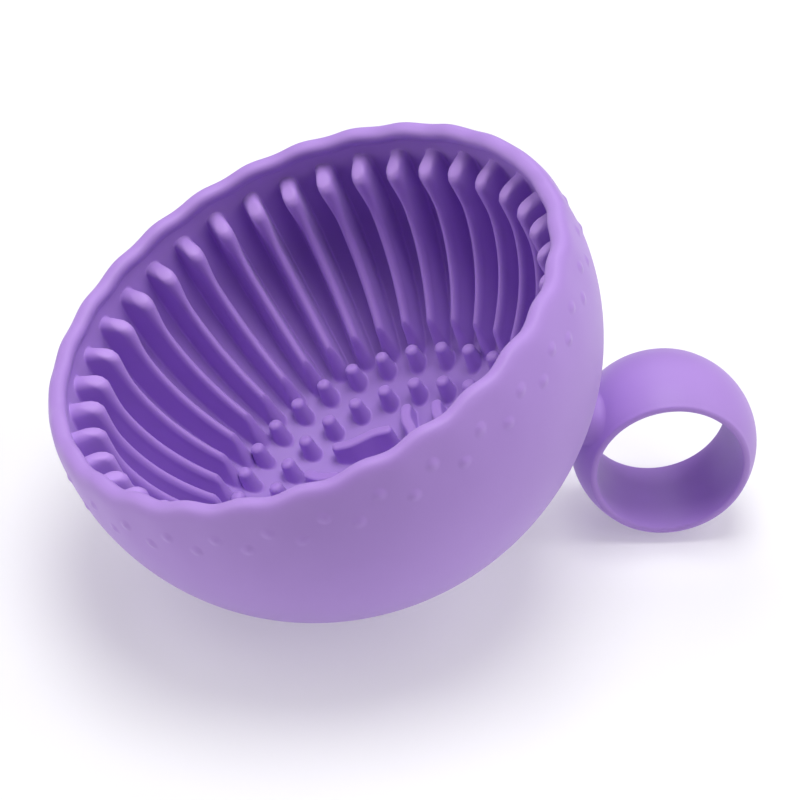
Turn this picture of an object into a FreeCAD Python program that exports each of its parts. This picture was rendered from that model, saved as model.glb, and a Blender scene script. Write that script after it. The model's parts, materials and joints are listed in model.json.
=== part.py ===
# A silicone cleaning bowl for make-up brushes, with a finger ring that props it up at a lean.
#
# Two frames are used. The bowl frame has its origin at the centre of the mouth and +Z along the
# bowl's own axis; everything but the ring is drawn in it. The part frame is the resting pose:
# +Z up, +Y along the bore of the finger ring, origin below the middle of the part on the table.
import FreeCAD, Part
import math
import os
import Sketcher

Vector = FreeCAD.Vector
Rotation = FreeCAD.Rotation
Placement = FreeCAD.Placement
UP = Vector(0, 0, 1)

DIMENSIONS = [
    # bowl: both faces of the wall are arcs about one centre, turned about the axis
    ("bowl_arc_radius", 47.1, "outside arc of the wall"),
    ("bowl_arc_offset", 3.0, "distance of the arcs' centre from the axis"),
    ("bowl_arc_drop", 9.0, "depth of the arcs' centre below the mouth"),
    ("wall_thickness", 2.8, "wall and floor"),
    ("rim_joint_drop", 2.2, "where the wall ends and the lip begins"),
    ("floor_radius", 32.4, "where the wall ends and the floor begins"),
    ("lip_bead_radius", 1.4, "rolled bead along the rim"),
    ("lip_circle_radius", 47.6, "circle that the bead follows"),
    ("lip_bead_drop", 0.4, "depth of the bead's centre below the mouth"),
    # ribs on the inside of the wall
    ("rib_count", 38, "ribs round the wall"),
    ("rib_start", -0.8, "azimuth of the first rib, degrees"),
    ("rib_spread", 3.5, "angle that one rib fills, degrees"),
    ("rib_height", 5.5, "from the wall to the crest"),
    ("rib_head_radius", 4.0, "rounding at the top of a rib"),
    ("rib_head_drop", 8.7, "depth of the head's centre below the mouth"),
    ("rib_foot_radius", 32.2, "where the crest ends, from the axis"),
    ("rib_edge_round", 0.8, "rounding along the crest"),
    # pegs on the floor
    ("nub_tip_radius", 1.2, "round end of a nub"),
    ("nub_root_radius", 1.8, "a nub at the floor"),
    ("nub_height", 4.3, "above the floor"),
    ("outer_nub_count", 30, "nubs in the outer row"),
    ("outer_nub_circle", 30.1, "radius of the outer row"),
    ("outer_nub_start", 6.0, "azimuth of its first nub, degrees"),
    ("inner_nub_count", 25, "nubs in the inner row"),
    ("inner_nub_circle", 24.6, "radius of the inner row"),
    ("inner_nub_start", 8.4, "azimuth of its first nub, degrees"),
    # S-shaped bars on the floor: three side by side in each quarter
    ("quarter_ridge_count", 4, "outer bars, and inner bars: one of each to a quarter"),
    ("half_ridge_count", 2, "middle bars, and radial bars: one of each to a half"),
    ("ridge_length", 12.4, "from end to end"),
    ("ridge_bow", 0.5, "how far each half of the S bows"),
    ("ridge_width", 2.2, "thickness of a bar"),
    ("ridge_height", 4.6, "above the floor"),
    ("outer_ridge_circle", 17.5, "radius of the middle of an outer bar"),
    ("outer_ridge_start", 11.3, "azimuth of the first outer bar, degrees"),
    ("outer_ridge_turn", 69.0, "its direction from the radius, degrees"),
    ("middle_ridge_circle", 17.1, "radius of the middle of a middle bar"),
    ("middle_ridge_start", 44.8, "azimuth of the first middle bar, degrees"),
    ("middle_ridge_turn", 43.0, "its direction from the radius, degrees"),
    ("inner_ridge_circle", 16.2, "radius of the middle of an inner bar"),
    ("inner_ridge_start", 68.4, "azimuth of the first inner bar, degrees"),
    ("inner_ridge_turn", 14.3, "its direction from the radius, degrees"),
    ("radial_ridge_circle", 16.0, "radius of the middle of a radial bar"),
    ("radial_ridge_start", 136.0, "azimuth of the first radial bar, degrees"),
    ("radial_ridge_turn", 2.0, "its direction from the radius, degrees"),
    # low dots on the outside, below the rim
    ("dot_count", 32, "dots in each row"),
    ("dot_radius", 1.3, "a dot where it meets the wall"),
    ("dot_top_radius", 0.7, "a dot at its top"),
    ("dot_height", 0.3, "above the wall"),
    ("upper_dot_drop", 4.5, "depth of the upper row below the mouth"),
    ("lower_dot_drop", 7.5, "depth of the lower row below the mouth"),
    ("dot_start", 1.6, "azimuth of the first upper dot, degrees"),
    # finger ring and the neck that carries it
    ("ring_bore_radius", 13.7, "hole for the finger"),
    ("ring_outer_radius", 17.6, "at the middle of the band"),
    ("ring_edge_radius", 14.7, "at the edges of the band"),
    ("ring_width", 19.2, "length of the bore with its rounded edges"),
    ("ring_edge_round", 0.4, "rounding of the band's edges"),
    ("ring_reach", 69.6, "from the bowl's mouth centre to the ring, level"),
    ("neck_length", 9.4, "from inside the wall to inside the ring"),
    ("neck_root_width", 8.6, "half width of the neck at the bowl"),
    ("neck_root_depth", 6.0, "half depth of the neck at the bowl"),
    ("neck_waist_width", 5.6, "half width at its thinnest"),
    ("neck_waist_depth", 3.8, "half depth at its thinnest"),
    ("neck_end_width", 5.8, "half width at the ring"),
    ("neck_end_depth", 4.6, "half depth at the ring"),
    # resting pose
    ("lean", 23.35, "of the bowl's axis away from the ring, degrees"),
    ("bowl_turn", 9.35, "from the ring's square to the plane of the lean, degrees"),
    ("ring_bearing", 8.2, "direction of the ring from the mouth's centre, degrees"),
]

doc = FreeCAD.newDocument("BrushCleaner")
sheet = doc.addObject("Spreadsheet::Sheet", "Dimensions")
size = {}
for row, (alias, value, note) in enumerate(DIMENSIONS, start=1):
    sheet.set(f"A{row}", note)
    sheet.set(f"B{row}", str(value))
    sheet.setAlias(f"B{row}", alias)
    size[alias] = value
doc.recompute()

inner_arc_radius = size["bowl_arc_radius"] - size["wall_thickness"]
crest_arc_radius = inner_arc_radius - size["rib_height"]
nodes = []


def radius_at_drop(arc_radius, drop):
    """Distance from the axis to an arc of the wall at a depth below the mouth."""
    return size["bowl_arc_offset"] + math.sqrt(arc_radius**2 - (drop - size["bowl_arc_drop"])**2)


def drop_at_radius(arc_radius, radius):
    """Depth below the mouth of an arc of the wall at a distance from the axis."""
    out = max(radius - size["bowl_arc_offset"], 0.0)
    return size["bowl_arc_drop"] + math.sqrt(arc_radius**2 - out**2)


def polar(radius, degrees, height=0.0):
    angle = math.radians(degrees)
    return Vector(radius * math.cos(angle), radius * math.sin(angle), height)


class Outline:
    """A closed outline in a sketch, with its sizes bound to the sheet's cells."""

    def __init__(self, sketch):
        self.sketch = sketch
        self.pieces = []

    def line(self, start, end):
        segment = Part.LineSegment(Vector(*start, 0), Vector(*end, 0))
        return self._keep(segment, 1, 2)

    def arc(self, centre, start, end, clockwise=False):
        first, last = (end, start) if clockwise else (start, end)
        circle = Part.Circle(Vector(*centre, 0), UP, math.dist(centre, start))
        angles = [math.atan2(point[1] - centre[1], point[0] - centre[0]) for point in (first, last)]
        if angles[1] < angles[0]:
            angles[1] += 2 * math.pi
        ends = (2, 1) if clockwise else (1, 2)
        return self._keep(Part.ArcOfCircle(circle, *angles), *ends)

    def _keep(self, curve, start, end):
        index = self.sketch.addGeometry(curve, False)
        self.pieces.append((index, start, end))
        return index

    def close(self, smooth=()):
        """Join each piece to the next, running smoothly where the first one is in smooth."""
        following = self.pieces[1:] + self.pieces[:1]
        for (index, _, end), (next_index, next_start, _) in zip(self.pieces, following):
            joint = "Tangent" if index in smooth else "Coincident"
            self.constrain(joint, index, end, next_index, next_start)

    def constrain(self, *terms):
        return self.sketch.addConstraint(Sketcher.Constraint(*terms))

    def bind(self, expression, *terms):
        """Add a dimension that an expression in the sheet's cells drives."""
        index = self.constrain(*terms)
        self.sketch.setExpression(f"Constraints[{index}]", expression)

    def bind_wall_centre(self, index):
        """Hold an arc's centre at the common centre of the wall's arcs."""
        offset, drop = size["bowl_arc_offset"], size["bowl_arc_drop"]
        self.bind("Dimensions.bowl_arc_offset", "DistanceX", -1, 1, index, 3, offset)
        self.bind("Dimensions.bowl_arc_drop", "DistanceY", index, 3, -1, 1, drop)

    def bind_drop(self, alias, index, point):
        self.bind(f"Dimensions.{alias}", "DistanceY", index, point, -1, 1, size[alias])

    def bind_distance(self, alias, index, point):
        """Hold a point at a distance from the axis."""
        self.bind(f"Dimensions.{alias}", "DistanceX", -1, 1, index, point, size[alias])


def new_body(label):
    body = doc.addObject("PartDesign::Body", label)
    body.Label = label
    return body


def profile_sketch(body, name):
    """A sketch in the plane of the body's X and Z axes."""
    sketch = body.newObject("Sketcher::SketchObject", name)
    plane = next(item for item in body.Origin.OriginFeatures if item.Role == "XZ_Plane")
    sketch.AttachmentSupport = [(plane, "")]
    sketch.MapMode = "FlatFace"
    return sketch


def turn(body, sketch, name, degrees=None):
    """Turn a sketch about the body's Z axis: all the way, or by an angle about its own plane."""
    revolution = body.newObject("PartDesign::Revolution", name)
    revolution.Profile = sketch
    revolution.ReferenceAxis = (sketch, ["V_Axis"])
    if degrees is None:
        revolution.Angle = 360.0
    else:
        revolution.Midplane = True
        revolution.setExpression("Angle", degrees)
    doc.recompute()
    return revolution


def wall_centre():
    return (size["bowl_arc_offset"], -size["bowl_arc_drop"])


def make_bowl_shell():
    """The side wall, from the floor's edge up to the lip."""
    body = new_body("bowl_shell")
    outline = Outline(profile_sketch(body, "ShellProfile"))
    outside, inside = size["bowl_arc_radius"], inner_arc_radius
    top, foot = size["rim_joint_drop"], size["floor_radius"]
    outer_top = (radius_at_drop(outside, top), -top)
    inner_top = (radius_at_drop(inside, top), -top)
    inner_foot = (foot, -drop_at_radius(inside, foot))
    outer_foot = (foot, -drop_at_radius(outside, foot))
    joint = outline.line(outer_top, inner_top)
    inner = outline.arc(wall_centre(), inner_top, inner_foot, clockwise=True)
    edge = outline.line(inner_foot, outer_foot)
    outer = outline.arc(wall_centre(), outer_foot, outer_top)
    outline.close()
    outline.constrain("Horizontal", joint)
    outline.constrain("Vertical", edge)
    outline.bind_wall_centre(outer)
    outline.constrain("Coincident", inner, 3, outer, 3)
    outline.bind("Dimensions.bowl_arc_radius", "Radius", outer, outside)
    outline.bind("Dimensions.bowl_arc_radius - Dimensions.wall_thickness", "Radius", inner, inside)
    outline.bind_drop("rim_joint_drop", joint, 1)
    outline.bind_distance("floor_radius", edge, 1)
    turn(body, outline.sketch, "ShellTurn")
    return body


def make_bowl_floor():
    """The rounded bottom, with a small flat where the arcs run level."""
    body = new_body("bowl_floor")
    outline = Outline(profile_sketch(body, "FloorProfile"))
    outside, inside = size["bowl_arc_radius"], inner_arc_radius
    foot, flat = size["floor_radius"], size["bowl_arc_offset"]
    lowest = -drop_at_radius(outside, 0.0)
    floor_level = -drop_at_radius(inside, 0.0)
    inner_edge = (foot, -drop_at_radius(inside, foot))
    outer_edge = (foot, -drop_at_radius(outside, foot))
    under = outline.line((0.0, lowest), (flat, lowest))
    outer = outline.arc(wall_centre(), (flat, lowest), outer_edge)
    edge = outline.line(outer_edge, inner_edge)
    inner = outline.arc(wall_centre(), inner_edge, (flat, floor_level), clockwise=True)
    over = outline.line((flat, floor_level), (0.0, floor_level))
    axis = outline.line((0.0, floor_level), (0.0, lowest))
    outline.close()
    outline.constrain("Horizontal", under)
    outline.constrain("Horizontal", over)
    outline.constrain("Vertical", edge)
    outline.constrain("PointOnObject", axis, 1, -2)
    outline.constrain("Vertical", axis)
    outline.bind_wall_centre(outer)
    outline.constrain("Coincident", inner, 3, outer, 3)
    outline.bind("Dimensions.bowl_arc_radius", "Radius", outer, outside)
    outline.bind("Dimensions.bowl_arc_radius - Dimensions.wall_thickness", "Radius", inner, inside)
    outline.bind_distance("bowl_arc_offset", under, 2)
    outline.bind_distance("bowl_arc_offset", over, 1)
    outline.bind_distance("floor_radius", edge, 1)
    turn(body, outline.sketch, "FloorTurn")
    return body


def make_rim_lip():
    """The rolled lip: a bead that the wall's two faces run into."""
    body = new_body("rim_lip")
    outline = Outline(profile_sketch(body, "LipProfile"))
    bead, circle, top = size["lip_bead_radius"], size["lip_circle_radius"], size["rim_joint_drop"]
    outer_joint = (radius_at_drop(size["bowl_arc_radius"], top), -top)
    inner_joint = (radius_at_drop(inner_arc_radius, top), -top)
    centre = (circle, -size["lip_bead_drop"])
    bearing = math.atan2(outer_joint[1] - centre[1], outer_joint[0] - centre[0])
    bearing += math.acos(bead / math.dist(centre, outer_joint))
    outer_side = (circle + bead * math.cos(bearing), centre[1] + bead * math.sin(bearing))
    inner_side = (circle - bead, centre[1])
    joint = outline.line(inner_joint, outer_joint)
    slope = outline.line(outer_joint, outer_side)
    crown = outline.arc(centre, outer_side, inner_side)
    outline.line(inner_side, inner_joint)
    outline.close(smooth=(slope,))
    outline.constrain("Horizontal", joint)
    outline.constrain("Horizontal", crown, 3, crown, 2)
    outline.bind("Dimensions.lip_bead_radius", "Radius", crown, bead)
    outline.bind_distance("lip_circle_radius", crown, 3)
    outline.bind_drop("lip_bead_drop", crown, 3)
    outline.bind_drop("rim_joint_drop", joint, 1)
    arc_side = "Dimensions.bowl_arc_offset + sqrt(({0})^2" \
               " - (Dimensions.bowl_arc_drop - Dimensions.rim_joint_drop)^2)"
    outer_arc = arc_side.format("Dimensions.bowl_arc_radius")
    inner_arc = arc_side.format("Dimensions.bowl_arc_radius - Dimensions.wall_thickness")
    outline.bind(inner_arc, "DistanceX", -1, 1, joint, 1, inner_joint[0])
    outline.bind(outer_arc, "DistanceX", -1, 1, joint, 2, outer_joint[0])
    turn(body, outline.sketch, "LipTurn")
    return body


def rib_outline(body):
    """The side view of a rib: along the wall, down its blunt foot, up the crest, round the head."""
    outline = Outline(profile_sketch(body, body.Label + "_profile"))
    centre = wall_centre()
    head_drop, head, foot = size["rib_head_drop"], size["rib_head_radius"], size["rib_foot_radius"]
    head_centre_arc = crest_arc_radius + head
    head_centre = (radius_at_drop(head_centre_arc, head_drop), -head_drop)
    along = math.atan2(head_centre[1] - centre[1], head_centre[0] - centre[0])
    crest_top = (centre[0] + crest_arc_radius * math.cos(along),
                 centre[1] + crest_arc_radius * math.sin(along))
    crest_foot = (foot, -drop_at_radius(crest_arc_radius, foot))
    wall_foot = (foot, -drop_at_radius(inner_arc_radius, foot))
    head_top_drop = head_drop - head
    wall_top = (radius_at_drop(inner_arc_radius, head_top_drop), -head_top_drop)
    head_top = (head_centre[0], -head_top_drop)
    outline.line(wall_top, head_top)
    outline.arc(head_centre, head_top, crest_top)
    outline.arc(centre, crest_top, crest_foot, clockwise=True)
    outline.line(crest_foot, wall_foot)
    outline.arc(centre, wall_foot, wall_top)
    return outline


def make_rib(number):
    """One rib: its side view turned through a small angle, its crest rounded off."""
    body = new_body(f"scrub_rib_{number:02d}")
    outline = rib_outline(body)
    shelf, head, crest, foot, wall = range(5)
    outline.close(smooth=(shelf, head))
    outline.constrain("Horizontal", shelf)
    outline.constrain("Vertical", foot)
    outline.bind_wall_centre(wall)
    outline.constrain("Coincident", crest, 3, wall, 3)
    inside = "Dimensions.bowl_arc_radius - Dimensions.wall_thickness"
    outline.bind(inside, "Radius", wall, inner_arc_radius)
    outline.bind(f"{inside} - Dimensions.rib_height", "Radius", crest, crest_arc_radius)
    outline.bind("Dimensions.rib_head_radius", "Radius", head, size["rib_head_radius"])
    outline.bind_drop("rib_head_drop", head, 3)
    outline.bind_distance("rib_foot_radius", foot, 1)
    revolution = turn(body, outline.sketch, body.Label + "_turn", "Dimensions.rib_spread")
    round_crest(body, revolution)
    pitch = 360.0 / size["rib_count"]
    azimuth = size["rib_start"] + pitch * (number - 1)
    return body, Placement(Vector(), Rotation(UP, azimuth))


def round_crest(body, revolution):
    """Round the long edges of the crest and of the head."""
    centre_radius = {round(crest_arc_radius, 3), round(size["rib_head_radius"], 3)}
    names = []
    for index, edge in enumerate(revolution.Shape.Edges, start=1):
        if isinstance(edge.Curve, Part.Circle) and round(edge.Curve.Radius, 3) in centre_radius:
            names.append(f"Edge{index}")
    fillet = body.newObject("PartDesign::Fillet", body.Label + "_round")
    fillet.Base = (revolution, names)
    fillet.setExpression("Radius", "Dimensions.rib_edge_round")
    doc.recompute()


def turned_solid(points_and_arcs):
    """A solid of revolution about the bowl's axis from edges of a closed profile in X and Z."""
    return Part.Face(Part.Wire(points_and_arcs)).revolve(Vector(), UP, 360.0)


def wall_solid(arc_radius):
    """Everything inside one arc of the wall, up to the joint with the lip."""
    top, flat = size["rim_joint_drop"], size["bowl_arc_offset"]
    rim = Vector(radius_at_drop(arc_radius, top), 0, -top)
    base = Vector(flat, 0, -drop_at_radius(arc_radius, 0.0))
    centre = Vector(flat, 0, -size["bowl_arc_drop"])
    middle_way = (rim - centre) + (base - centre)
    middle = centre + middle_way.normalize() * arc_radius
    edges = [
        Part.Arc(rim, middle, base).toShape(),
        Part.makeLine(base, Vector(0, 0, base.z)),
        Part.makeLine(Vector(0, 0, base.z), Vector(0, 0, rim.z)),
        Part.makeLine(Vector(0, 0, rim.z), rim),
    ]
    return turned_solid(edges)


def new_feature(label, shape):
    feature = doc.addObject("Part::Feature", label)
    feature.Label = label
    feature.Shape = shape
    return feature


def ring_of_copies(shape, count, start):
    """Copies of one shape spaced evenly about the bowl's axis."""
    copies = []
    for index in range(int(count)):
        copy = shape.copy()
        copy.rotate(Vector(), UP, start + 360.0 / count * index)
        copies.append(copy)
    return Part.makeCompound(copies)


def make_nub_row(label, cavity, circle, count, start):
    """A row of tapered pegs with round ends, standing straight up from the floor."""
    floor_drop = drop_at_radius(inner_arc_radius, circle)
    tip, root = size["nub_tip_radius"], size["nub_root_radius"]
    ball_level = -floor_drop + size["nub_height"] - tip
    slope = (root - tip) / (size["nub_height"] - tip)
    below = 2.0 * root
    stem_length = size["nub_height"] - tip + below
    stem = Part.makeCone(tip + slope * stem_length, tip, stem_length,
                         Vector(circle, 0, ball_level - stem_length), UP)
    ball = Part.makeSphere(tip, Vector(circle, 0, ball_level))
    peg = stem.fuse(ball).common(cavity)
    return new_feature(label, ring_of_copies(peg.Solids[0], count, start))


def ridge_prism():
    """An S-shaped bar along X, centred on the origin, from level 0 up to its height."""
    half, bow = (size["ridge_length"] - size["ridge_width"]) / 2, size["ridge_bow"]
    low = Part.Arc(Vector(-half, 0, 0), Vector(-half / 2, -bow, 0), Vector())
    high = Part.Arc(Vector(), Vector(half / 2, bow, 0), Vector(half, 0, 0))
    centre_line = Part.Wire([low.toShape(), high.toShape()])
    outline = centre_line.makeOffset2D(size["ridge_width"] / 2, fill=False, openResult=False)
    depth = size["ridge_height"] + size["wall_thickness"]
    return Part.Face(outline).extrude(Vector(0, 0, depth))


def make_ridge(label, cavity, circle, direction, azimuth):
    """One bar, set on the floor at a radius and turned from the radial direction."""
    bar = ridge_prism()
    crest = -drop_at_radius(inner_arc_radius, circle) + size["ridge_height"]
    bar.Placement = Placement(Vector(circle, 0, crest - bar.BoundBox.ZMax), Rotation(UP, direction))
    feature = new_feature(label, bar.common(cavity).Solids[0])
    return feature, Placement(Vector(), Rotation(UP, azimuth))


def make_dot_row(label, blank, drop, start):
    """A row of low dots on the outside of the wall."""
    base, top, rise = size["dot_radius"], size["dot_top_radius"], size["dot_height"]
    centre = Vector(size["bowl_arc_offset"], 0, -size["bowl_arc_drop"])
    surface = Vector(radius_at_drop(size["bowl_arc_radius"], drop), 0, -drop)
    outward = (surface - centre).normalize()
    core = Part.makeCylinder(base, rise, surface - outward * rise, outward)
    dot = core.fuse(Part.makeCone(base, top, rise, surface, outward)).cut(blank)
    return new_feature(label, ring_of_copies(dot.Solids[0], size["dot_count"], start))


def make_finger_ring():
    """The ring, drawn about its own axis: a straight bore and a barrel-shaped outside."""
    body = new_body("finger_ring")
    outline = Outline(profile_sketch(body, "RingProfile"))
    bore, edge, middle = size["ring_bore_radius"], size["ring_edge_radius"], size["ring_outer_radius"]
    half = size["ring_width"] / 2
    bulge = middle - edge
    barrel_radius = (half**2 + bulge**2) / (2 * bulge)
    barrel_centre = (middle - barrel_radius, 0.0)
    bottom = outline.line((bore, -half), (edge, -half))
    barrel = outline.arc(barrel_centre, (edge, -half), (edge, half))
    top = outline.line((edge, half), (bore, half))
    wall = outline.line((bore, half), (bore, -half))
    outline.close()
    outline.constrain("Horizontal", bottom)
    outline.constrain("Horizontal", top)
    outline.bind_distance("ring_bore_radius", wall, 1)
    outline.bind_distance("ring_edge_radius", bottom, 2)
    outline.bind("Dimensions.ring_width", "DistanceY", wall, 2, wall, 1, size["ring_width"])
    outline.constrain("Symmetric", wall, 1, wall, 2, -1)
    bulge_cells = "(Dimensions.ring_outer_radius - Dimensions.ring_edge_radius)"
    barrel_cells = f"((Dimensions.ring_width / 2)^2 + {bulge_cells}^2) / (2 * {bulge_cells})"
    outline.bind(barrel_cells, "Radius", barrel, barrel_radius)
    revolution = turn(body, outline.sketch, "RingTurn")
    fillet = body.newObject("PartDesign::Fillet", "RingEdges")
    fillet.Base = (revolution, circular_edges(revolution.Shape, half))
    fillet.setExpression("Radius", "Dimensions.ring_edge_round")
    doc.recompute()
    return body


def circular_edges(shape, level):
    """Names of the edges that are whole circles at a height, above or below."""
    names = []
    for index, edge in enumerate(shape.Edges, start=1):
        is_circle = isinstance(edge.Curve, Part.Circle)
        if is_circle and abs(abs(edge.BoundBox.ZMin) - level) < 0.01 and edge.BoundBox.ZLength < 0.01:
            names.append(f"Edge{index}")
    return names


def oval(half_width, half_depth, where, normal):
    """An oval across the neck, its long axis level with the table."""
    level = Vector(0, 1, 0)
    across = normal.cross(level)
    wide = where + level * half_width
    deep = where + across * half_depth
    return Part.Wire([Part.Ellipse(wide, deep, where).toShape()])


def make_ring_neck(blank, ring_tool, ring_centre):
    """The root of the ring: wide at the bowl, waisted, and spreading again onto the ring."""
    start = Vector(size["bowl_arc_offset"], 0, -size["bowl_arc_drop"])
    along = (ring_centre - start).normalize()
    root = start + along * (size["bowl_arc_radius"] - size["wall_thickness"] / 2)
    waist = root + along * (size["neck_length"] / 2)
    end = root + along * size["neck_length"]
    sections = [
        oval(size["neck_root_width"], size["neck_root_depth"], root, along),
        oval(size["neck_waist_width"], size["neck_waist_depth"], waist, along),
        oval(size["neck_end_width"], size["neck_end_depth"], end, along),
    ]
    loft = Part.makeLoft(sections, True, False)
    neck = loft.cut(blank).cut(ring_tool)
    return new_feature("ring_neck", max(neck.Solids, key=lambda solid: solid.Volume))


def resting_rotation():
    """From the bowl frame to the part frame."""
    return Rotation(UP, size["bowl_turn"]) * Rotation(Vector(0, 1, 0), -size["lean"])


def ring_placement():
    """The ring on the table, its bore along Y, before the part is moved to its origin."""
    lean = math.radians(size["lean"])
    offset, drop = size["bowl_arc_offset"], size["bowl_arc_drop"]
    table = -offset * math.sin(lean) - drop * math.cos(lean) - size["bowl_arc_radius"]
    middle = polar(size["ring_reach"], size["ring_bearing"], table + size["ring_outer_radius"])
    return Placement(middle, Rotation(Vector(1, 0, 0), -90.0))


def solid_ring(placement):
    """The ring with its bore filled, in the place that a placement gives."""
    plug = Part.makeCylinder(size["ring_bore_radius"], size["ring_width"],
                             Vector(0, 0, -size["ring_width"] / 2), UP)
    filled = finger_ring.Shape.fuse(plug)
    filled.Placement = placement
    return filled


# Each entry of nodes is a sub-part and its place in the part frame, before the origin is set.
pose = Placement(Vector(), resting_rotation())
cavity = wall_solid(inner_arc_radius)
blank = wall_solid(size["bowl_arc_radius"])

nodes.append((make_bowl_shell(), pose))
nodes.append((make_bowl_floor(), pose))
nodes.append((make_rim_lip(), pose))

finger_ring = make_finger_ring()
ring_pose = ring_placement()
ring_in_bowl = pose.inverse().multiply(ring_pose)
nodes.append((finger_ring, ring_pose))
nodes.append((make_ring_neck(blank, solid_ring(ring_in_bowl), ring_in_bowl.Base), pose))

for number in range(1, size["rib_count"] + 1):
    rib, place = make_rib(number)
    nodes.append((rib, pose.multiply(place)))

for side in ("outer", "inner"):
    row = make_nub_row(f"{side}_nub_row", cavity, size[f"{side}_nub_circle"],
                       size[f"{side}_nub_count"], size[f"{side}_nub_start"])
    nodes.append((row, pose))

for kind, share in (("outer", "quarter"), ("middle", "half"), ("inner", "quarter"), ("radial", "half")):
    count = size[f"{share}_ridge_count"]
    for number in range(1, count + 1):
        azimuth = size[f"{kind}_ridge_start"] + 360.0 / count * (number - 1)
        ridge, place = make_ridge(f"{kind}_ridge_{number}", cavity, size[f"{kind}_ridge_circle"],
                                  size[f"{kind}_ridge_turn"], azimuth)
        nodes.append((ridge, pose.multiply(place)))

dot_pitch = 360.0 / size["dot_count"]
upper = make_dot_row("upper_grip_dots", blank, size["upper_dot_drop"], size["dot_start"])
lower = make_dot_row("lower_grip_dots", blank, size["lower_dot_drop"],
                     size["dot_start"] + dot_pitch / 2)
nodes.append((upper, pose))
nodes.append((lower, pose))

# Put the origin at the middle of the part's box, on the table.
whole = FreeCAD.BoundBox()
for sub_part, place in nodes:
    sub_part.Placement = place
doc.recompute()
for sub_part, _ in nodes:
    whole.add(sub_part.Shape.optimalBoundingBox(False))
to_origin = Placement(Vector(-whole.Center.x, -whole.Center.y, -whole.ZMin), Rotation())
for sub_part, place in nodes:
    sub_part.Placement = to_origin.multiply(place)
doc.recompute()

for item in doc.Objects:
    if "Invalid" in item.State or "Error" in item.State:
        raise RuntimeError(f"{item.Label} failed to recompute: {item.State}")
os.makedirs("parts", exist_ok=True)
for sub_part, _ in nodes:
    shape = sub_part.Shape
    if shape.isNull() or not shape.isValid() or not shape.Solids:
        raise RuntimeError(f"{sub_part.Label} has no valid solid")
    shape.exportStep(f"parts/{sub_part.Label}.step")
print(f"{len(nodes)} sub-parts, box {whole.XLength:.1f} x {whole.YLength:.1f} x {whole.ZLength:.1f} mm")
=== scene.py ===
# A lavender silicone cleaning bowl for make-up brushes, resting on its round bottom and its
# finger ring. Shapes are drawn in the bowl's own frame, in millimetres: origin at the centre of
# the mouth, +Z out of the mouth, azimuth 0 towards the ring, in the plane in which the bowl
# leans. They are then leaned, turned and set down in metres.
import json
import math
import bmesh
import bpy
from mathutils import Matrix, Vector


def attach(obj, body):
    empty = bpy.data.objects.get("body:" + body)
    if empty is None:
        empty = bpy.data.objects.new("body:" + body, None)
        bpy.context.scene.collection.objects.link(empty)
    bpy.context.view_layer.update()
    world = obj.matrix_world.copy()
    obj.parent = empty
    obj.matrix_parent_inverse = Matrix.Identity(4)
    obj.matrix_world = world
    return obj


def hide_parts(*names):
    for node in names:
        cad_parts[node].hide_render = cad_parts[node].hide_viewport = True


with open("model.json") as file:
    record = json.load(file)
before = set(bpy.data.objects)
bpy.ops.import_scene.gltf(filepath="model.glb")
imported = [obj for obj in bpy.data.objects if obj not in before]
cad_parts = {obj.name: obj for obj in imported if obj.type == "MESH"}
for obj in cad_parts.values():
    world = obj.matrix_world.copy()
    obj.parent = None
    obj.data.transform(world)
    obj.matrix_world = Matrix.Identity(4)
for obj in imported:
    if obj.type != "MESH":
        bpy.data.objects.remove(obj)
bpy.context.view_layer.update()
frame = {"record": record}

# ---------------------------------------------------------------- sizes, in millimetres

MM = 0.001
MERGE, SLIVER = 1e-4, 1e-9      # points this close are one; faces this small are none
HIDDEN = 0.05                   # how deep a hidden edge lies under its neighbour's skin

# bowl: both faces of the wall are arcs about one centre in each plane through the axis
ARC_OFFSET, ARC_DROP = 3.0, 9.0
OUTER_ARC, WALL = 47.1, 2.8
INNER_ARC = OUTER_ARC - WALL
JOINT_DROP = 2.2                # depth at which the lip meets the wall
FLOOR_RADIUS = 32.4             # distance from the axis at which the wall meets the floor
OVERLAP = 0.02                  # how far the wall runs on inside the floor, in radians

# lip: its crown, then the handles of its section's curves, up the outside and down the inside
BEAD, BEAD_CIRCLE, BEAD_DROP = 1.4, 47.6, 0.4
LIP_RISE, LIP_SHOULDER = 1.5, 1.5
LIP_BACK, LIP_TUCK, LIP_TUCK_DROP, LIP_LANDING = 2.4, 2.3, 2.2, 0.5

# scallops of the rim
LOBES, LOBE_START = 28, math.radians(0.8)
LOBE_RISE, LOBE_PULL, LOBE_FADE = 0.62, 0.25, 15.0
AROUND = 14 * LOBES

# finger ring
RING_BORE, RING_MIDDLE, RING_EDGE, RING_WIDTH = 13.7, 17.6, 14.7, 19.2
RING_SOFT, RING_BEVEL = 0.6, 0.1
RING_REACH, RING_BEARING = 69.6, math.radians(8.2)
LEAN, BOWL_TURN = math.radians(23.35), math.radians(9.35)

# neck: half width and half depth of six cuts, from the bowl to the ring, and the heights of the
# two in the middle above the bowl
NECK_CUTS = [(5.8, 5.4), (4.6, 4.0), (4.3, 3.7), (4.1, 3.5), (4.2, 3.5), (7.2, 5.4)]
NECK_WAISTS = 1.2, 4.2
NECK_IN_BOWL, NECK_IN_RING = 1.5, 1.0

# ribs of the wall: the knob ends at KNOB_END and the crest is narrow KNOB_FADE further on
RIB_COUNT, RIB_START = 38, math.radians(-0.8)
RIB_ROOT, RIB_CREST, RIB_KNOB, RIB_HEIGHT, RIB_FILLET = 1.7, 0.95, 1.5, 5.5, 0.4
RIB_TOP_DROP, RIB_HEAD, RIB_SWELL = 4.2, 3.0, 0.4
KNOB_END, KNOB_FADE = 3.0, 9.0
RIB_FOOT_RADIUS, RIB_FOOT_EXTRA, RIB_FOOT_FADE = 31.8, 0.9, 12.0

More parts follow.
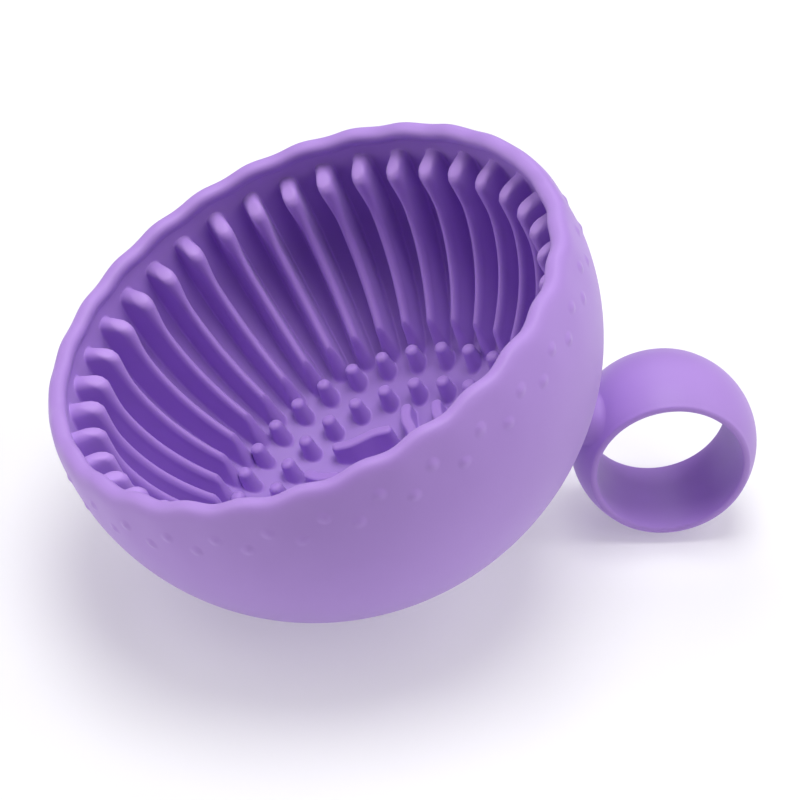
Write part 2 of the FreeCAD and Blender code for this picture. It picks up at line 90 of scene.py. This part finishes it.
# nubs and bars of the floor
FLOOR_SUNK = 0.12
NUB_TIP, NUB_ROOT, NUB_HEIGHT, NUB_FILLET, NUB_EDGE = 1.38, 1.75, 4.3, 0.35, 1.0
RIDGE_LENGTH, RIDGE_BOW, RIDGE_ROOT, RIDGE_CREST = 12.4, 0.4, 1.35, 1.1
RIDGE_HEIGHT, RIDGE_FILLET, RIDGE_EDGE = 4.6, 0.4, 0.7
# piece, node, count, radius of the circle, azimuth of the first
NUB_ROWS = [("outer_nubs", "outer_nub_row", 30, 30.1, math.radians(6.0)),
            ("inner_nubs", "inner_nub_row", 25, 24.6, math.radians(8.4))]
# kind, count, radius of the circle, azimuth of the first, turn away from the radius
RIDGE_KINDS = [("outer_ridge", 4, 17.5, math.radians(11.3), math.radians(69.0)),
               ("middle_ridge", 2, 17.1, math.radians(44.8), math.radians(43.0)),
               ("inner_ridge", 4, 16.2, math.radians(68.4), math.radians(14.3)),
               ("radial_ridge", 2, 16.0, math.radians(136.0), math.radians(2.0))]

# dots of the outside; a row is piece, node, depth below the mouth, stagger in dots
DOT_COUNT, DOT_START, DOT_RADIUS, DOT_HEIGHT = 32, math.radians(1.6), 1.5, 0.28
DOT_ROWS = [("dots_upper", "upper_grip_dots", 4.5, 0.0), ("dots_lower", "lower_grip_dots", 7.5, 0.5)]

# shares of a mound's height at which its sides end, under the surface
MOUND_UNDER, DOT_UNDER = -0.03, -0.3

# ---------------------------------------------------------------- colours, light and camera

OUTSIDE, OUTSIDE_DEEP = (0.44, 0.265, 0.70), (0.41, 0.24, 0.665)
# the inside colours are the same silicone as the outside, painted lighter: painted light that offsets
# the shade falling in the bowl between the ribs, nubs and bars
INSIDE_PAINTED_LIGHTER, INSIDE_DEEP_PAINTED_LIGHTER = (0.49, 0.295, 0.76), (0.46, 0.27, 0.73)
PAPER, PAPER_GLOW = (0.66, 0.66, 0.67, 1), 0.3
STUDIO_SIZE = 6.0               # metres

# soft lamps about the part, in metres; each is name, bearing and height in degrees, watts
LAMP_DISTANCE, LAMP_SIZE, LAMP_AIM = 0.9, 0.5, Vector((0, 0, 0.03))
LAMPS = [("overhead", 0, 88, 4.8), ("right_low", 0, 20, 0.9), ("right_high", 0, 50, 1.35),
         ("left_high", 180, 50, 1.45), ("left_low", 180, 18, 1.8), ("behind", 90, 50, 1.5),
         ("behind_right", 45, 40, 0.55), ("above_camera", -96, 62, 0.35),
         ("front_right", -45, 35, 1.25)]

# a long lens; the target is given from the mouth in millimetres, the distance in metres
CAMERA_AZIMUTH, CAMERA_ELEVATION = math.radians(-4.69), math.radians(36.48)
CAMERA_ROLL, CAMERA_DISTANCE = math.radians(1.73), 0.4249
CAMERA_TARGET = Vector((17.66, -3.07, -18.55))
CAMERA_LENS, CAMERA_SENSOR = 107.1, 36.0

# ---------------------------------------------------------------- places, from the frame

ring_mount = next(m for m in frame["record"]["mounts"] if m["name"] == "finger_bore")
ring_centre = Vector(ring_mount["pos_m"]) / MM
reach = Vector((RING_REACH * math.cos(RING_BEARING), RING_REACH * math.sin(RING_BEARING), 0))
mouth = ring_centre - reach
mouth.z = ARC_OFFSET * math.sin(LEAN) + ARC_DROP * math.cos(LEAN) + OUTER_ARC
to_rest = (Matrix.Scale(MM, 4) @ Matrix.Translation(mouth)
           @ Matrix.Rotation(BOWL_TURN, 4, "Z") @ Matrix.Rotation(-LEAN, 4, "Y"))
ring_in_bowl = (Matrix.Rotation(LEAN, 4, "Y") @ Matrix.Rotation(-BOWL_TURN, 4, "Z")
                @ Matrix.Translation(-mouth) @ Matrix.Translation(ring_centre))


# ---------------------------------------------------------------- small helpers

def smoothstep(value):
    value = min(max(value, 0.0), 1.0)
    return value * value * (3 - 2 * value)


def lerp(a, b, share):
    return a + (b - a) * share


def bezier_point(points, share):
    """The point of a Bezier curve at a share of its run."""
    level = [Vector(point) for point in points]
    while len(level) > 1:
        level = [a.lerp(b, share) for a, b in zip(level, level[1:])]
    return level[0]


def bezier(points, steps):
    """Points along a Bezier curve, both ends included."""
    return [bezier_point(points, index / steps) for index in range(steps + 1)]


def circle_angles(count):
    return [2 * math.pi * index / count for index in range(count)]


def add_grid(mesh, rows, wrap_rows=False):
    """Add quads between rows of points; every row is a closed loop."""
    rings = [[mesh.verts.new(point) for point in row] for row in rows]
    pairs = list(zip(rings, rings[1:]))
    if wrap_rows:
        pairs.append((rings[-1], rings[0]))
    for low, high in pairs:
        for index in range(len(low)):
            after = (index + 1) % len(low)
            mesh.faces.new((low[index], low[after], high[after], high[index]))


def finish_piece(mesh, name, nodes, material, matrix, sharp=50.0):
    """Turn a bmesh into a smooth-shaded piece that stands for some CAD nodes."""
    bmesh.ops.remove_doubles(mesh, verts=mesh.verts, dist=MERGE)
    slivers = [face for face in mesh.faces if face.calc_area() < SLIVER]
    bmesh.ops.delete(mesh, geom=slivers, context="FACES")
    bmesh.ops.recalc_face_normals(mesh, faces=mesh.faces)
    data = bpy.data.meshes.new(name)
    mesh.to_mesh(data)
    mesh.free()
    data.transform(matrix)
    data.materials.append(material)
    data.polygons.foreach_set("use_smooth", [True] * len(data.polygons))
    data.set_sharp_from_angle(angle=math.radians(sharp))
    piece = bpy.data.objects.new(name, data)
    bpy.context.scene.collection.objects.link(piece)
    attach(piece, "root")
    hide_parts(*nodes)


# ---------------------------------------------------------------- material

def silicone(name, colour, deep_colour):
    """Satin silicone: powdery sheen, faint unevenness and grain."""
    material = bpy.data.materials.new(name)
    material.use_nodes = True
    nodes, links = material.node_tree.nodes, material.node_tree.links
    shader = nodes["Principled BSDF"]
    shader.inputs["Specular IOR Level"].default_value = 0.42
    shader.inputs["IOR"].default_value = 1.42
    shader.inputs["Sheen Weight"].default_value = 0.12
    shader.inputs["Sheen Roughness"].default_value = 0.45
    place = nodes.new("ShaderNodeTexCoord")
    cloud = nodes.new("ShaderNodeTexNoise")
    cloud.inputs["Scale"].default_value = 38.0
    cloud.inputs["Detail"].default_value = 4.0
    tint = nodes.new("ShaderNodeValToRGB")
    tint.color_ramp.elements[0].position = 0.3
    tint.color_ramp.elements[0].color = (*deep_colour, 1)
    tint.color_ramp.elements[1].position = 0.7
    tint.color_ramp.elements[1].color = (*colour, 1)
    gloss = nodes.new("ShaderNodeMapRange")
    gloss.inputs["To Min"].default_value = 0.43
    gloss.inputs["To Max"].default_value = 0.55
    grain = nodes.new("ShaderNodeTexNoise")
    grain.inputs["Scale"].default_value = 2600.0
    grain.inputs["Detail"].default_value = 2.0
    swell = nodes.new("ShaderNodeTexNoise")
    swell.inputs["Scale"].default_value = 90.0
    swell.inputs["Detail"].default_value = 1.0
    fine = nodes.new("ShaderNodeBump")
    fine.inputs["Strength"].default_value = 0.12
    fine.inputs["Distance"].default_value = 0.00008
    broad = nodes.new("ShaderNodeBump")
    broad.inputs["Strength"].default_value = 0.25
    broad.inputs["Distance"].default_value = 0.0003
    for texture in (cloud, grain, swell):
        links.new(place.outputs["Object"], texture.inputs["Vector"])
    links.new(cloud.outputs["Fac"], tint.inputs["Fac"])
    links.new(tint.outputs["Color"], shader.inputs["Base Color"])
    links.new(cloud.outputs["Fac"], gloss.inputs["Value"])
    links.new(gloss.outputs["Result"], shader.inputs["Roughness"])
    links.new(swell.outputs["Fac"], broad.inputs["Height"])
    links.new(grain.outputs["Fac"], fine.inputs["Height"])
    links.new(broad.outputs["Normal"], fine.inputs["Normal"])
    links.new(fine.outputs["Normal"], shader.inputs["Normal"])
    return material


# ---------------------------------------------------------------- bowl

def wall_angle(arc, drop):
    """Angle below level, about the arcs' centre, of the point of an arc at a depth."""
    return math.asin((drop - ARC_DROP) / arc)


def edge_angle(arc, radius):
    """The same angle for a point of the floor at a distance from the axis."""
    return math.acos((radius - ARC_OFFSET) / arc)


def section_point(arc, angle):
    """(radius, height) of a point of an arc."""
    return ARC_OFFSET + arc * math.cos(angle), -ARC_DROP - arc * math.sin(angle)


def scallop(radius, height, azimuth):
    """The rim's waves, full at the mouth and gone a little way down the wall."""
    fade = smoothstep(1 + min(height, 0.0) / LOBE_FADE)
    dip = (1 - math.cos(LOBES * (azimuth - LOBE_START))) / 2 * fade
    return radius - LOBE_PULL * (fade - dip), height - LOBE_RISE * dip


def turned(radius, height, azimuth):
    """A point of the bowl's section at an azimuth, with the scallops."""
    radius, height = scallop(radius, height, azimuth)
    return Vector((radius * math.cos(azimuth), radius * math.sin(azimuth), height))


def floor_height(x, y):
    """Height of the inside of the bowl above a point of the mouth's plane."""
    out = max(math.hypot(x, y) - ARC_OFFSET, 0.0)
    return -ARC_DROP - math.sqrt(INNER_ARC**2 - out * out)


def arc_row(arc, start, end, steps):
    return [section_point(arc, lerp(start, end, index / steps)) for index in range(steps + 1)]


def turn_section(section):
    mesh = bmesh.new()
    azimuths = circle_angles(AROUND)
    rows = [[turned(radius, height, azimuth) for azimuth in azimuths] for radius, height in section]
    add_grid(mesh, rows, wrap_rows=True)
    return mesh


def make_wall(material):
    """The wall, from the lip's joint to the floor's, with a thin tongue inside the floor."""
    outer_foot, inner_foot = edge_angle(OUTER_ARC, FLOOR_RADIUS), edge_angle(INNER_ARC, FLOOR_RADIUS)
    outer = arc_row(OUTER_ARC, wall_angle(OUTER_ARC, JOINT_DROP), outer_foot, 90)
    inner = arc_row(INNER_ARC, inner_foot, wall_angle(INNER_ARC, JOINT_DROP), 80)
    tongue = [section_point(OUTER_ARC - HIDDEN, outer_foot + OVERLAP),
              section_point(INNER_ARC + HIDDEN, inner_foot + OVERLAP)]
    finish_piece(turn_section(outer + tongue + inner), "bowl_wall", ["bowl_shell"], material, to_rest)


def make_bottom(material):
    """The floor: from the joint with the wall in to the middle, outside and inside."""
    steps = 60
    outer = arc_row(OUTER_ARC, edge_angle(OUTER_ARC, FLOOR_RADIUS), math.pi / 2, steps)
    inner = arc_row(INNER_ARC, math.pi / 2, edge_angle(INNER_ARC, FLOOR_RADIUS), steps)
    outer.append((0.0, outer[-1][1]))
    inner.insert(0, (0.0, inner[0][1]))
    mesh = turn_section(outer + inner)
    bmesh.ops.remove_doubles(mesh, verts=mesh.verts, dist=MERGE)
    axis = [face for face in mesh.faces if all(math.hypot(v.co.x, v.co.y) < MERGE for v in face.verts)]
    bmesh.ops.delete(mesh, geom=axis, context="FACES")
    finish_piece(mesh, "bowl_bottom", ["bowl_floor"], material, to_rest)


def lip_joint(arc, rise=0.0):
    """The point where a face of the wall meets the lip, or one straight on above it."""
    angle = wall_angle(arc, JOINT_DROP)
    radius, height = section_point(arc, angle)
    return radius - math.tan(-angle) * rise, height + rise


def make_rim(material):
    """The rolled lip: smooth out of the outer face, rolled in over the inner one."""
    radius, height = BEAD_CIRCLE, BEAD - BEAD_DROP
    up = [lip_joint(OUTER_ARC), lip_joint(OUTER_ARC, LIP_RISE),
          (radius + LIP_SHOULDER, height), (radius, height)]
    down = [(radius, height), (radius - LIP_BACK, height), (radius - LIP_TUCK, height - LIP_TUCK_DROP),
            lip_joint(INNER_ARC, LIP_LANDING), lip_joint(INNER_ARC)]
    section = bezier(up, 14)[:-1] + bezier(down, 20)
    finish_piece(turn_section(section), "rim", ["rim_lip"], material, to_rest, sharp=60.0)


# ---------------------------------------------------------------- mounds: ribs, nubs, bars, dots

def side_view(root, crest, height, fillet, edge):
    """(distance from the centre line, share of the height) up the side of a mound."""
    shoulder = height - edge
    slope = (root - crest) / shoulder
    rise = fillet * 1.2
    skirt = [(root + fillet, 0), (root, 0), (root - slope * rise, rise)]
    levels = [(0.0, MOUND_UNDER), (root + fillet, MOUND_UNDER)]
    levels += [(point.x, point.y / height) for point in bezier(skirt, 5)]
    flank = 7
    for index in range(1, flank):
        level = lerp(rise, shoulder, index / flank)
        levels.append((root - slope * level, level / height))
    corner = 8
    for index in range(corner + 1):
        angle = math.pi / 2 * index / corner
        levels.append((crest - edge + edge * math.cos(angle),
                       (shoulder + edge * math.sin(angle)) / height))
    levels.append((0.0, 1.0))
    return levels


def end_arc(centre, start, distance, turns):
    """The inside points of a half circle, counter-clockwise from a direction."""
    points = []
    for index in range(1, turns):
        angle = math.pi * index / turns
        spoke = Vector((start.x * math.cos(angle) - start.y * math.sin(angle),
                        start.x * math.sin(angle) + start.y * math.cos(angle)))
        points.append(centre + spoke * distance)
    return points


def loop_about(path, distances, turns):
    """A closed loop at a distance from a point or an open path in the plane, round at its ends."""
    if len(path) == 1:
        return [path[0] + Vector((math.cos(angle), math.sin(angle))) * distances[0]
                for angle in circle_angles(2 * turns)]
    normals = []
    for index in range(len(path)):
        before, after = path[max(index - 1, 0)], path[min(index + 1, len(path) - 1)]
        along = (after - before).normalized()
        normals.append(Vector((-along.y, along.x)))
    sides = list(zip(path, normals, distances))
    loop = [point - normal * distance for point, normal, distance in sides]
    loop += end_arc(path[-1], -normals[-1], distances[-1], turns)
    loop += [point + normal * distance for point, normal, distance in reversed(sides)]
    loop += end_arc(path[0], normals[0], distances[0], turns)
    return loop


def add_mound(mesh, path, views, place, turns=8):
    """A closed mound over a path, with a side view for each of the path's points.

    place sets a point of the plane and a share of the height in 3-D.
    """
    rows = []
    for level in zip(*views):
        distances = [distance for distance, _ in level]
        rows.append([place(point, level[0][1]) for point in loop_about(path, distances, turns)])
    add_grid(mesh, rows)


def past_knob(along):
    """0 on the knob at the top of a rib, 1 where its crest is narrow."""
    return smoothstep((along - KNOB_END) / KNOB_FADE)


def make_rib(number, material):
    """A rib of the wall: a round knob at the top, a narrow crest, a steep round foot."""
    top = wall_angle(INNER_ARC, RIB_TOP_DROP)
    foot = edge_angle(INNER_ARC, RIB_FOOT_RADIUS)
    azimuth = RIB_START + 2 * math.pi * (number - 1) / RIB_COUNT
    length = (foot - top) * INNER_ARC
    steps = 40
    path = [Vector((lerp(RIB_ROOT, length - RIB_ROOT + RIB_FOOT_EXTRA, index / steps), 0))
            for index in range(steps + 1)]
    views = []
    for point in path:
        crest = lerp(RIB_KNOB, RIB_CREST, past_knob(point.x))
        views.append(side_view(RIB_ROOT, crest, RIB_HEIGHT, RIB_FILLET, crest))

    def place(point, share):
        along, aside = point
        inset = max(1 - max(along, 0.0) / RIB_HEAD, 0.0)
        head = math.sqrt(1 - inset * inset)
        swell = RIB_SWELL * (1 - past_knob(along))
        height = (RIB_HEIGHT + swell) * share * (head if share > 0 else 1.0)
        plumb = (foot - edge_angle(INNER_ARC - height, RIB_FOOT_RADIUS)) * INNER_ARC
        along -= plumb * smoothstep((along - length + RIB_FOOT_FADE) / RIB_FOOT_FADE)
        radius, level = section_point(INNER_ARC - height, top + along / INNER_ARC)
        return turned(radius, level, azimuth + math.asin(aside / radius))

    mesh = bmesh.new()
    add_mound(mesh, path, views, place)
    name = f"scrub_rib_{number:02d}"
    finish_piece(mesh, f"rib_{number:02d}", [name], material, to_rest)


def on_floor(crest_height):
    """Place points of the plane between the floor and a level crest."""
    def place(point, share):
        base = floor_height(point.x, point.y)
        height = lerp(base, crest_height, share) if share >= 0 else base - FLOOR_SUNK
        return Vector((point.x, point.y, height))
    return place


def on_circle(radius, azimuth):
    return Vector((radius * math.cos(azimuth), radius * math.sin(azimuth)))


def make_nubs(name, node, count, circle, first, material):
    """A ring of round nubs on the floor, all of one height."""
    mesh = bmesh.new()
    view = side_view(NUB_ROOT, NUB_TIP, NUB_HEIGHT, NUB_FILLET, NUB_EDGE)
    crest = floor_height(circle, 0) + NUB_HEIGHT
    for angle in circle_angles(count):
        add_mound(mesh, [on_circle(circle, first + angle)], [view], on_floor(crest), turns=14)
    finish_piece(mesh, name, [node], material, to_rest)


def make_ridge(kind, count, circle, first, turn, number, material):
    """An S-shaped bar on the floor with a level crest."""
    azimuth = first + 2 * math.pi / count * (number - 1)
    centre = on_circle(circle, azimuth)
    straight = on_circle(1.0, azimuth + turn)
    across = Vector((-straight.y, straight.x))
    steps = 24
    path = []
    for index in range(steps + 1):
        along = lerp(-0.5, 0.5, index / steps)
        bow = RIDGE_BOW * math.sin(2 * math.pi * along)
        path.append(centre + straight * along * (RIDGE_LENGTH - 2 * RIDGE_CREST) + across * bow)
    crest = floor_height(circle, 0) + RIDGE_HEIGHT
    mesh = bmesh.new()
    view = side_view(RIDGE_ROOT, RIDGE_CREST, RIDGE_HEIGHT, RIDGE_FILLET, RIDGE_EDGE)
    add_mound(mesh, path, [view] * len(path), on_floor(crest))
    name = f"{kind}_{number}"
    finish_piece(mesh, f"{kind}_bar_{number}", [name], material, to_rest)


def make_dots(name, node, drop, stagger, material):
    """A row of low domes that fade into the wall."""
    mesh = bmesh.new()
    angle = wall_angle(OUTER_ARC, drop)
    view = [(0.0, DOT_UNDER), (DOT_RADIUS, DOT_UNDER)]
    steps = 10
    for index in range(steps + 1):
        share = index / steps
        view.append((DOT_RADIUS * (1 - share), smoothstep(share)))
    for index in range(DOT_COUNT):
        azimuth = DOT_START + 2 * math.pi * (index + stagger) / DOT_COUNT

        def place(point, share):
            radius, level = section_point(OUTER_ARC + DOT_HEIGHT * share, angle + point.y / OUTER_ARC)
            return turned(radius, level, azimuth + point.x / radius)

        add_mound(mesh, [Vector((0, 0))], [view], place, turns=10)
    finish_piece(mesh, name, [node], material, to_rest)


# ---------------------------------------------------------------- ring and neck

def barrel(level):
    """Radius of the ring's outside at a distance along its axis."""
    half, bulge = RING_WIDTH / 2, RING_MIDDLE - RING_EDGE
    radius = (half**2 + bulge**2) / (2 * bulge)
    return RING_MIDDLE - radius + math.sqrt(radius**2 - level**2)


def make_ring(material):
    """The finger ring: straight bore, barrel outside, soft edges."""
    half, end = RING_WIDTH / 2, RING_WIDTH / 2 - RING_SOFT
    steps = 30
    section = []
    for index in range(steps + 1):
        level = lerp(-end, end, index / steps)
        section.append((barrel(level), level))
    edge = barrel(end)
    corner = bezier([(edge, end), (edge - RING_BEVEL, half), (RING_BORE, half), (RING_BORE, end)], 10)
    section += corner[1:]
    steps = 12
    section += [(RING_BORE, lerp(end, -end, index / steps)) for index in range(1, steps)]
    section += [(radius, -level) for radius, level in reversed(corner)][:-1]
    rows = [[Vector((radius * math.cos(angle), level, radius * math.sin(angle)))
             for angle in circle_angles(160)] for radius, level in section]
    mesh = bmesh.new()
    add_grid(mesh, rows, wrap_rows=True)
    place = Matrix.Scale(MM, 4) @ Matrix.Translation(ring_centre)
    finish_piece(mesh, "ring", ["finger_ring"], material, place, sharp=70.0)


def on_bowl(centre, along, offset):
    """The point of the bowl's outside over an offset from the neck's axis, just under the skin."""
    radius = OUTER_ARC - HIDDEN
    return centre + along * math.sqrt(radius**2 - offset.length_squared) + offset


def on_ring(to_ring, middle, along, offset):
    """The point of the ring's outside under an offset from the neck's axis, just under the skin."""
    reach_back = RING_MIDDLE
    for _ in range(6):
        local = to_ring @ (middle - along * reach_back + offset)
        skin = barrel(min(abs(local.y), RING_WIDTH / 2)) - HIDDEN
        reach_back += skin - math.hypot(local.x, local.z)
    return middle - along * reach_back + offset


def make_neck(material):
    """The root of the ring: it flares out of the bowl and into the ring."""
    centre = Vector((ARC_OFFSET, 0, -ARC_DROP))
    middle = ring_in_bowl @ Vector()
    to_ring = ring_in_bowl.inverted()
    along = (middle - centre).normalized()
    level = Vector((0, 1, 0))
    across = along.cross(level)
    around, steps = 96, 20
    curves = []
    for angle in circle_angles(around):
        side, deep = level * math.cos(angle), across * math.sin(angle)
        cuts = [side * wide + deep * high for wide, high in NECK_CUTS]
        curve = [on_bowl(centre, along, cut) for cut in cuts[:2]]
        curve += [centre + along * (OUTER_ARC + rise) + cut for rise, cut in zip(NECK_WAISTS, cuts[2:4])]
        curve += [on_ring(to_ring, middle, along, cut) for cut in cuts[4:]]
        curves.append(curve)
    rows = [[bezier_point(curve, index / steps) for curve in curves] for index in range(steps + 1)]
    rows.insert(0, [centre + along * (OUTER_ARC - NECK_IN_BOWL)] * around)
    rows.append([middle - along * (RING_BORE + NECK_IN_RING)] * around)
    mesh = bmesh.new()
    add_grid(mesh, rows)
    finish_piece(mesh, "neck", ["ring_neck"], material, to_rest)


# ---------------------------------------------------------------- stage, light and camera

def make_floor():
    bpy.ops.mesh.primitive_plane_add(size=STUDIO_SIZE, location=(0, 0, 0))
    floor = bpy.context.object
    floor.name = "studio_floor"
    paper = bpy.data.materials.new("pale_paper")
    paper.use_nodes = True
    shader = paper.node_tree.nodes["Principled BSDF"]
    shader.inputs["Base Color"].default_value = PAPER
    shader.inputs["Emission Color"].default_value = (1, 1, 1, 1)
    shader.inputs["Emission Strength"].default_value = PAPER_GLOW
    shader.inputs["Roughness"].default_value = 0.9
    floor.data.materials.append(paper)


def direction_of(bearing, height):
    return Vector((math.cos(bearing) * math.cos(height), math.sin(bearing) * math.cos(height),
                   math.sin(height)))


def make_lamps():
    """Round soft lamps that all look at the part; the world itself gives no light."""
    for name, bearing, height, power in LAMPS:
        place = direction_of(math.radians(bearing), math.radians(height)) * LAMP_DISTANCE
        data = bpy.data.lights.new(name, "AREA")
        data.shape = "DISK"
        data.size = LAMP_SIZE
        data.energy = power
        light = bpy.data.objects.new(name, data)
        light.location = place
        light.rotation_euler = (place - LAMP_AIM).to_track_quat("Z", "Y").to_euler()
        bpy.context.scene.collection.objects.link(light)


def make_world():
    world = bpy.data.worlds.new("dark_studio")
    world.use_nodes = True
    world.node_tree.nodes["Background"].inputs["Strength"].default_value = 0.0
    bpy.context.scene.world = world


def make_camera():
    """From in front and above, turned a little to the left of the ring's bore, and rolled."""
    azimuth, elevation, roll = CAMERA_AZIMUTH, CAMERA_ELEVATION, CAMERA_ROLL
    back = Vector((math.sin(azimuth) * math.cos(elevation),
                   -math.cos(azimuth) * math.cos(elevation), math.sin(elevation)))
    right = Vector((math.cos(azimuth), math.sin(azimuth), 0))
    up = back.cross(right)
    tilted_right = right * math.cos(roll) + up * math.sin(roll)
    tilted_up = up * math.cos(roll) - right * math.sin(roll)
    data = bpy.data.cameras.new("camera")
    data.sensor_width = CAMERA_SENSOR
    data.lens = CAMERA_LENS
    camera = bpy.data.objects.new("camera", data)
    axes = Matrix((tilted_right, tilted_up, back)).transposed().to_4x4()
    place = (mouth + CAMERA_TARGET) * MM + back * CAMERA_DISTANCE
    camera.matrix_world = Matrix.Translation(place) @ axes
    bpy.context.scene.collection.objects.link(camera)
    bpy.context.scene.camera = camera


# ---------------------------------------------------------------- build

outside = silicone("lavender_silicone", OUTSIDE, OUTSIDE_DEEP)
# painted light: the same silicone, made lighter inside the bowl to offset the shade between the ribs,
# nubs and bars
inside = silicone("lavender_silicone_inside_painted_lighter", INSIDE_PAINTED_LIGHTER, INSIDE_DEEP_PAINTED_LIGHTER)

make_wall(outside)
make_bottom(outside)
make_rim(outside)
make_ring(outside)
make_neck(outside)
for number in range(1, RIB_COUNT + 1):
    make_rib(number, inside)
for name, node, count, circle, first in NUB_ROWS:
    make_nubs(name, node, count, circle, first, inside)
for kind, count, circle, first, turn in RIDGE_KINDS:
    for number in range(1, count + 1):
        make_ridge(kind, count, circle, first, turn, number, inside)
for name, node, drop, stagger in DOT_ROWS:
    make_dots(name, node, drop, stagger, outside)

make_floor()
make_world()
make_lamps()
make_camera()
bpy.context.scene.view_settings.view_transform = "Standard"
